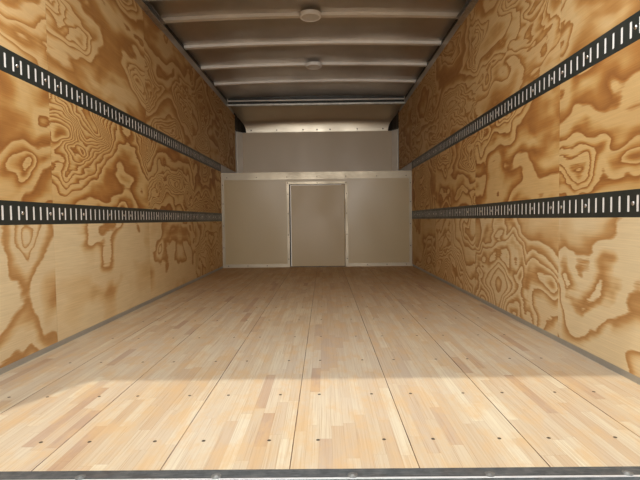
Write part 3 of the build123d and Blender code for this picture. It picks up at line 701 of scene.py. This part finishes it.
def joined(name, shapes, material, bevel=0.0, smooth=False, body="root"):
    points, faces, count = [], [], 0
    for shapePoints, shapeFaces in shapes:
        points.append(np.asarray(shapePoints) + np.array(at(0, 0, 0)))
        faces += [tuple(index + count for index in face) for face in shapeFaces]
        count += len(shapePoints)
    mesh = bpy.data.meshes.new(name)
    mesh.from_pydata(np.concatenate(points).tolist(), [], faces)
    if smooth:
        mesh.shade_smooth()
    piece = linked(name, mesh)
    if bevel:
        soft = piece.modifiers.new("soft", "BEVEL")
        soft.width, soft.segments, soft.limit_method = bevel, 2, "ANGLE"
    mesh.materials.append(materials[material])
    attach(piece, body)


def stamped(name, shape, spots, material):   # spots: (place, outward way)
    base, faces = shape
    shapes = []
    for spot, way in spots:
        turn = np.array(Vector(way).to_track_quat("Z", "Y").to_matrix())
        shapes.append((base @ turn.T + np.array(spot), faces))
    joined(name, shapes, material, smooth=True)


def steps(first, last, pitch):   # evenly spaced places from first to last
    count = max(1, round((last - first) / pitch))
    return [first + (last - first) * step / count for step in range(count + 1)]


# Inside: rivets, screws and bolts

trackRivet = {"first": 0.769, "pitch": 0.0508, "gaps": (3, 7, 9, 13), "every": 16,
              "stretches": range(-1, 6), "ends": 0.02, "radius": 0.0085, "height": 0.0035}
backing = {"near": 0.0010, "far": 0.0045, "ends": 0.004, "edges": 0.012}   # pale, behind the slots
spots, strips = [], []
for side, sign in sides:
    for row in ("lower", "upper"):
        low, high = fromDeck(f"cargo_track_{side}_{row}")
        for stretch in trackRivet["stretches"]:
            for gap in trackRivet["gaps"]:
                y = trackRivet["first"] + trackRivet["pitch"] * (stretch * trackRivet["every"] + gap - 0.5)
                if low.y + trackRivet["ends"] < y < high.y - trackRivet["ends"]:
                    spots.append(((sign * halfInside, y, (low.z + high.z) / 2), (-sign, 0, 0)))
        near, far = sorted(sign * (halfInside + backing[face]) for face in ("near", "far"))
        strips.append(block((near, low.y + backing["ends"], low.z + backing["edges"]),
                            (far, high.y - backing["ends"], high.z - backing["edges"])))
head = dome(trackRivet["radius"], trackRivet["height"])
stamped("track_rivets", head, spots, "rivetMetal")
joined("slot_backing", strips, "slotWhite", 0.0002)

floorScrew = {"inset": 0.065, "first": 0.148, "second": 0.48, "third": 0.868, "pitch": 0.406, "rows": 10,
              "walls": 0.02, "radius": 0.0052, "rim": 0.0005}
rows = [floorScrew["first"], floorScrew["second"]]
rows += [floorScrew["third"] + floorScrew["pitch"] * step for step in range(floorScrew["rows"])]
spots = []
for board in range(-4, 4):
    for inset in (floorScrew["inset"], floorBoard - floorScrew["inset"]):
        x = board * floorBoard + inset
        if abs(x) < halfInside - floorScrew["walls"]:
            spots += [((x, y, 0.0), upward) for y in rows]
radius, rim = floorScrew["radius"], floorScrew["rim"]
screw = turned([(radius, 0.0), (radius * 0.9, rim), (radius * 0.7, rim * 0.6), (0.0, rim * 0.5)], 14)
stamped("floor_screws", screw, spots, "screwMetal")

sillBolt = {"first": -1.102, "pitch": 0.312, "count": 8, "y": -0.03, "radius": 0.012}
radius = sillBolt["radius"]
head = turned([(radius, 0.0), (radius, 0.0012), (radius * 0.84, 0.0022), (radius * 0.70, 0.0012),
               (radius * 0.62, 0.0014), (radius * 0.45, 0.0034), (radius * 0.2, 0.0042), (0.0, 0.0044)], 18)
places = [sillBolt["first"] + sillBolt["pitch"] * step for step in range(sillBolt["count"])]
spots = [((x, sillBolt["y"], 0.0), upward) for x in places]
stamped("sill_bolts", head, spots, "wornBolt")

stripFace = fromDeck("bulkhead")[0].y - 0.004
stripScrews = (   # each strip's screws: places across, then heights
    ((-1.10, -0.735, -0.361, 0.006, 0.363, 0.738, 1.10), (1.11,)),
    ((-0.355, 0.010, 0.362), (1.036,)),
    ((-0.3525, 0.3685), (0.10, 0.40, 0.66, 0.90)),
    ((-1.10, -0.86, -0.62, 0.62, 0.86, 1.10), (0.021,)),
    ((-1.153, 1.153), (0.25, 0.52, 0.79, 1.02)),
)
spots = [((x, stripFace, z), backward) for across, heights in stripScrews for x in across for z in heights]
stamped("strip_screws", dome(0.0072, 0.0026, 12), spots, "screwMetal")

leaf = {"left": -0.331, "right": 0.347, "foot": 0.010, "top": 1.014, "face": 4.812}
edgeSeal = {"width": 0.008, "proud": 0.0018}   # along the leaf's free edge
footSeal = {"ends": 0.002, "near": 0.004, "far": 0.018, "low": 0.0015, "high": 0.0085}
edgeTrim = {"far": 0.017, "proud": 0.0014, "low": 0.008, "high": 0.002, "hinge": 0.040}
left, right, foot, top, face = leaf.values()
near = left + edgeSeal["width"]
bands = [block((left, face - edgeSeal["proud"], foot), (near, face, top)),
         block((left + footSeal["ends"], face + footSeal["near"], footSeal["low"]),
               (right - footSeal["ends"], face + footSeal["far"], footSeal["high"]))]
joined("door_seal_strips", bands, "rubber", 0.0006, body="door")
far, proud, high = left + edgeTrim["far"], face - edgeTrim["proud"], top - edgeTrim["high"]
bands = [block((near, proud, foot), (far, face, high)),
         block((far, proud, top - edgeTrim["low"]), (right - edgeTrim["hinge"], face, high))]
joined("door_edge_trim", bands, "cornerMetal", 0.0006, body="door")
near, far = 4.8375, 4.8480   # the stops stand behind the leaf: left, right, foot and top of each
doorStops = ((-0.3365, -0.3225, 0.001, 1.019), (0.3385, 0.3525, 0.001, 1.019), (-0.322, 0.338, 1.005, 1.0195))
stops = [block((left, near, foot), (right, far, top)) for left, right, foot, top in doorStops]
joined("door_stops", stops, "undercoat", 0.001)

shelf = block((-1.168, 5.304, 2.158), (1.168, 5.340, 2.174))
joined("header_shelf", [shelf], "bowPaint", 0.004, smooth=True)

noseCurve = {"foot": 1.890, "small": 0.220, "smallY": 5.920, "large": 1.6559, "largeY": 5.350,
             "largeZ": 0.5721, "turn": math.radians(66.6)}


def onNose(angle, inset):   # a place on the nose's curve, and its outward way
    way = (math.cos(angle), math.sin(angle))
    if angle < noseCurve["turn"]:
        reach = noseCurve["small"] - inset
        return noseCurve["smallY"] + reach * way[0], noseCurve["foot"] + reach * way[1], way
    reach = noseCurve["large"] - inset
    return noseCurve["largeY"] + reach * way[0], noseCurve["largeZ"] + reach * way[1], way


noseLap = {"middles": (-0.6096, 0.6096), "half": 0.014, "insets": (0.0395, 0.0418), "from": 2, "sweep": 86,
           "steps": 43}   # the nose's sheets lap, 4 feet apart
laps, count = [], noseLap["steps"] + 1
turns = [math.radians(noseLap["from"] + noseLap["sweep"] * step / noseLap["steps"]) for step in range(count)]
near, far = noseLap["insets"]
last = 4 * count - 4
faces = bandsBetween(count, 4) + [(3, 2, 1, 0), (last, last + 1, last + 2, last + 3)]
for middle in noseLap["middles"]:
    low, high = middle - noseLap["half"], middle + noseLap["half"]
    ring = ((low, near), (low, far), (high, far), (high, near))
    laps.append((np.array([(x, *onNose(turn, inset)[:2]) for turn in turns for x, inset in ring]), faces))
joined("nose_laps", laps, "noseLiner")

y, z, way = onNose(math.radians(10.5), 0.04)
spots = [((x, y, z), (0, -way[0], -way[1])) for x in (-0.98, -0.60, -0.208, 0.001, 0.194, 0.60, 0.98)]
stamped("nose_screws", dome(0.011, 0.004, 12), spots, "undercoat")

# Outside: laps between the sheets, and rivets through skins and rails

wall = {"foot": 0.062, "top": 2.138, "bayEnd": 4.79, "atticFoot": 1.157, "inset": 0.06, "posts": 10}
lap = {"half": 0.022, "proud": 0.0012, "row": 0.012, "pitch": 0.0762}
rivet = {"pitch": 0.1016, "ends": 0.03, "height": 0.0019}


def wallTop(y):   # where the skin ends below the rail
    if y < noseCurve["largeY"]:
        return wall["top"]
    reach = noseCurve["large"] - wall["inset"]
    top = noseCurve["largeZ"] + math.sqrt(reach**2 - (y - noseCurve["largeY"])**2)
    return min(wall["top"], top) - 0.004


laps, wallSpots, lapSpots = [], [], []
for side, sign in sides:
    outward = (sign, 0, 0)
    for number in range(wall["posts"]):
        y = bows[0] - rearEdge + bows[1] * number
        foot = wall["foot"] if y < wall["bayEnd"] else wall["atticFoot"]
        top = wallTop(y + lap["half"])
        ends = foot + rivet["ends"], top - rivet["ends"]
        if number % 2:
            face = sign * (halfBody + lap["proud"])
            low, high = sorted((sign * (halfBody - 0.001), face))
            laps.append(block((low, y - lap["half"], foot), (high, y + lap["half"], top)))
            for row in (y - lap["row"], y + lap["row"]):
                lapSpots += [((face, row, z), outward) for z in steps(*ends, lap["pitch"])]
        else:
            wallSpots += [((sign * halfBody, y, z), outward) for z in steps(*ends, rivet["pitch"])]
joined("sheet_laps", laps, "wallPaint", 0.0006)
head = dome(0.0052, rivet["height"], 8, 2)
stamped("wall_rivets", head, wallSpots + lapSpots, "rivetPaint")

rearFace, noseFace = -0.045, 6.140
railRivets = {"low": (0.07, 4.75, 0.035), "high": (0.07, 5.32, 2.170), "nose": (4.86, 5.99, 1.1325),
              "top": (0.06, 5.28, 2.2042)}   # along a rail: first, last, height
corner = {"y": 4.820, "first": 0.10, "last": 1.10}   # the rail up to the attic
noseEdge = {"x": 1.09, "foot": 1.128, "top": 1.872, "first": 1.20, "last": 1.80,
            "angles": (12, 34, 56, 68, 71.5, 75, 78.5, 82, 85.5)}


def alongRail(rail, x, outward):
    first, last, height = railRivets[rail]
    return [((x, y, height), outward) for y in steps(first, last, rivet["pitch"])]


spots = []
for side, sign in sides:
    x, outward = sign * halfRail, (sign, 0, 0)
    spots += alongRail("low", x, outward) + alongRail("high", x, outward)
    heights = steps(corner["first"], corner["last"], rivet["pitch"])
    spots += [((x, corner["y"], z), outward) for z in heights]
    spots += alongRail("nose", x, outward)
    for angle in steps(math.radians(70), math.radians(89), math.radians(3.4)):
        spots.append(((x, *onNose(angle, 0.03)[:2]), outward))
    spots += alongRail("top", sign * 1.203, (sign * 0.041, 0, 1))
for x in steps(-noseEdge["x"], noseEdge["x"], rivet["pitch"]):
    spots += [((x, noseFace, z), forward) for z in (noseEdge["foot"], noseEdge["top"])]
for x in (-noseEdge["x"], noseEdge["x"]):
    heights = steps(noseEdge["first"], noseEdge["last"], rivet["pitch"])
    spots += [((x, noseFace, z), forward) for z in heights]
    for angle in noseEdge["angles"]:
        y, z, way = onNose(math.radians(angle), 0.0)
        spots.append(((x, y, z), (0, *way)))
stamped("rail_rivets", dome(0.0050, rivet["height"], 8, 2), spots, "rivetMetal")

# Lamps: bezels, and rubber grommets in the rear sill

markers = {"size": (0.100, 0.032), "across": (-1.04, -0.15, 0.0, 0.15, 1.04), "rear": 2.110, "front": 1.830,
           "sides": ((0.13, 0.15), (4.64, 0.15), (5.90, 1.30)),
           "rim": [(0.006, 0.0), (0.006, 0.003), (0.004, 0.0045), (0.0008, 0.0045), (0.0002, 0.003)]}
tails = {"size": (0.181, 0.073), "across": (-0.94, -0.73, 0.73, 0.94), "height": -0.090,
         "rim": [(0.006, 0.0), (0.006, 0.003), (0.0035, 0.007), (0.0012, 0.0075), (0.0002, 0.005)]}
spots = [((x, rearFace, markers["rear"]), backward) for x in markers["across"]]
spots += [((x, noseFace, markers["front"]), forward) for x in markers["across"]]
for side, sign in sides:
    spots += [((sign * halfBody, y, z), (sign, 0, 0)) for y, z in markers["sides"]]
stamped("lamp_bezels", rimmed(*markers["size"], markers["rim"]), spots, "framePaint")
spots = [((x, rearFace, tails["height"]), backward) for x in tails["across"]]
stamped("lamp_grommets", rimmed(*tails["size"], tails["rim"], 32), spots, "rubber")

handle = {"x": 1.166, "y": -0.050, "feet": (0.950, 1.300), "circle": 0.0145, "angles": (90, 210, 330)}
spots = []
for side, sign in sides:
    for foot in handle["feet"]:
        for angle in [math.radians(turn) for turn in handle["angles"]]:
            x = sign * handle["x"] + handle["circle"] * math.cos(angle)
            spots.append(((x, handle["y"], foot + handle["circle"] * math.sin(angle)), backward))
stamped("handle_bolts", dome(0.0035, 0.0022, 8), spots, "rivetMetal")

domeRing = turned([(0.0835, -0.0005), (0.0835, 0.026), (0.081, 0.0305), (0.074, 0.0318), (0.070, 0.0305),
                   (0.070, 0.0285), (0.0, 0.0285)], 40)
spots = [((0.0, y, 2.1985), downward) for y in (2.734, 3.954)]
stamped("dome_rims", domeRing, spots, "slotWhite")

# Roll-up door: hinges across its joints, roller brackets and the seal along its foot

door = {"first": 0.270, "pitch": 0.280, "count": 7, "under": 2.090}
hinge = {"across": (-0.93, -0.465, 0.0, 0.465, 0.93), "half": 0.032, "near": 0.004, "far": 0.045,
         "pin": 0.0055, "pinHalf": 0.033, "sides": 10, "bolts": (0.02, 0.03)}
bracket = {"inner": 1.035, "outer": 1.112, "first": 0.006, "last": 0.054, "bolts": (1.052, 1.095)}
face = door["under"] - 0.0025   # of the hinges' leaves, which are as thick
leaves, pins, bolts = [], [], []
for joint in range(1, door["count"]):
    y = door["first"] + door["pitch"] * joint - 0.001
    for x in hinge["across"]:
        low, high = x - hinge["half"], x + hinge["half"]
        leaves.append(block((low, y - hinge["far"], face), (high, y - hinge["near"], door["under"])))
        leaves.append(block((low, y + hinge["near"], face), (high, y + hinge["far"], door["under"])))
        around = hinge["sides"]
        ring = [(y + hinge["pin"] * math.cos(a), door["under"] - 0.003 + hinge["pin"] * math.sin(a))
                for a in [2 * math.pi * step / around for step in range(around)]]
        points = [(x + half, b, c) for half in (-hinge["pinHalf"], hinge["pinHalf"]) for b, c in ring]
        caps = [tuple(range(around - 1, -1, -1)), tuple(range(around, 2 * around))]
        pins.append((np.array(points), bandsBetween(2, around) + caps))
        bolts += [((x + across, y + along, face), downward)
                  for across in (-hinge["bolts"][0], hinge["bolts"][0])
                  for along in (-hinge["bolts"][1], hinge["bolts"][1])]
for number in range(door["count"]):
    y = door["first"] + door["pitch"] * number
    for side, sign in sides:
        low, high = sorted((sign * bracket["inner"], sign * bracket["outer"]))
        leaves.append(block((low, y + bracket["first"], face), (high, y + bracket["last"], door["under"])))
        middle = y + (bracket["first"] + bracket["last"]) / 2
        bolts += [((sign * x, middle, face), downward) for x in bracket["bolts"]]
joined("door_hinges", leaves, "zinc", 0.0008)
joined("hinge_pins", pins, "zinc", 0.001)
stamped("hinge_bolts", dome(0.0045, 0.003, 8), bolts, "zinc")
seal = block((-1.108, door["first"] - 0.016, 2.0875), (1.108, door["first"] + 0.004, 2.1105))
joined("door_seal", [seal], "rubber", 0.006, smooth=True)
print("rivets, screws, hinges and lamp rims set")

# Stage, lights and camera

def makeStage():
    mesh = bpy.data.meshes.new("studioFloor")
    reach = 60.0
    corners = [(-reach, -reach, 0), (reach, -reach, 0), (reach, reach, 0), (-reach, reach, 0)]
    mesh.from_pydata(corners, [], [(0, 1, 2, 3)])
    ground = linked("studioFloor", mesh)
    material, tree, shader = newMaterial("studioPale", Roughness=0.85)
    shader["Base Color"].default_value = rgb(0.58, 0.58, 0.57)
    mesh.materials.append(material)


studio = {
    "worldLight": 0.60, "worldSeen": 0.92,
    "sun": {"strength": 1.85, "angle": 1.2, "colour": (1.0, 0.94, 0.82), "travel": (0.33, 0.68, -2.0)},
    "lamps": (   # name, place, aim, width, height, watts, spread
        ("rearSoft", (0.3, -7.5, 1.9), (0.0, 3.0, 1.3), 5.0, 3.0, 75, 90),
        ("doorwayGlow", (0.0, 0.40, 1.80), (0.0, 1.0, 0.0), 1.9, 0.9, 25, 180),
        ("frontFill", (9.0, 12.0, 6.0), (0.0, 3.0, 0.8), 6.0, 5.0, 360, 180),
    ),
}


def lightStage(look):
    world = bpy.data.worlds.new("studio")
    bpy.context.scene.world = world
    world.use_nodes = True
    tree = world.node_tree
    tree.nodes.clear()
    ray = add(tree, "LightPath").outputs
    seen = calc(tree, "MAXIMUM", ray["Is Glossy Ray"], ray["Is Transmission Ray"])
    seen = calc(tree, "MAXIMUM", ray["Is Camera Ray"], seen)
    sky = add(tree, "Background", {"Color": rgb(1.0, 1.0, 1.0),
                                   "Strength": between(tree, seen, look["worldLight"], look["worldSeen"])})
    output = tree.nodes.new("ShaderNodeOutputWorld")
    tree.links.new(sky.outputs[0], output.inputs["Surface"])
    sun = bpy.data.lights.new("key", "SUN")
    sun.energy, sun.angle = look["sun"]["strength"], math.radians(look["sun"]["angle"])
    sun.color = look["sun"]["colour"]
    holder = linked("key", sun)
    holder.rotation_euler = Vector(look["sun"]["travel"]).to_track_quat("-Z", "Y").to_euler()
    for name, spot, aim, width, height, watts, angle in look["lamps"]:
        light = bpy.data.lights.new(name, "AREA")
        light.shape = "RECTANGLE"
        light.size, light.size_y, light.energy, light.spread = width, height, watts, math.radians(angle)
        lamp = linked(name, light)
        lamp.location = at(*spot)
        lamp.rotation_euler = (at(*spot) - at(*aim)).to_track_quat("Z", "Y").to_euler()
        lamp.visible_camera = False


def setCamera(look):
    camera = bpy.data.cameras.new("camera")
    camera.lens, camera.sensor_width = look["lens"], 36.0
    camera.clip_start, camera.clip_end = 0.05, 200.0
    holder = linked("camera", camera)
    turn = (Matrix.Rotation(math.radians(look["pan"]), 4, "Z")
            @ Matrix.Rotation(math.radians(90 - look["down"]), 4, "X")
            @ Matrix.Rotation(math.radians(look["roll"]), 4, "Z"))
    holder.matrix_world = Matrix.Translation(at(*look["place"])) @ turn
    bpy.context.scene.camera = holder


photoView = {"place": (0.0878, -1.101, 0.5845), "lens": 26.97, "pan": 0.504, "down": 2.447, "roll": -0.728}
makeStage()
lightStage(studio)
setCamera(photoView)
bpy.context.scene.view_settings.view_transform = "Standard"
print("stage, lights and camera set")
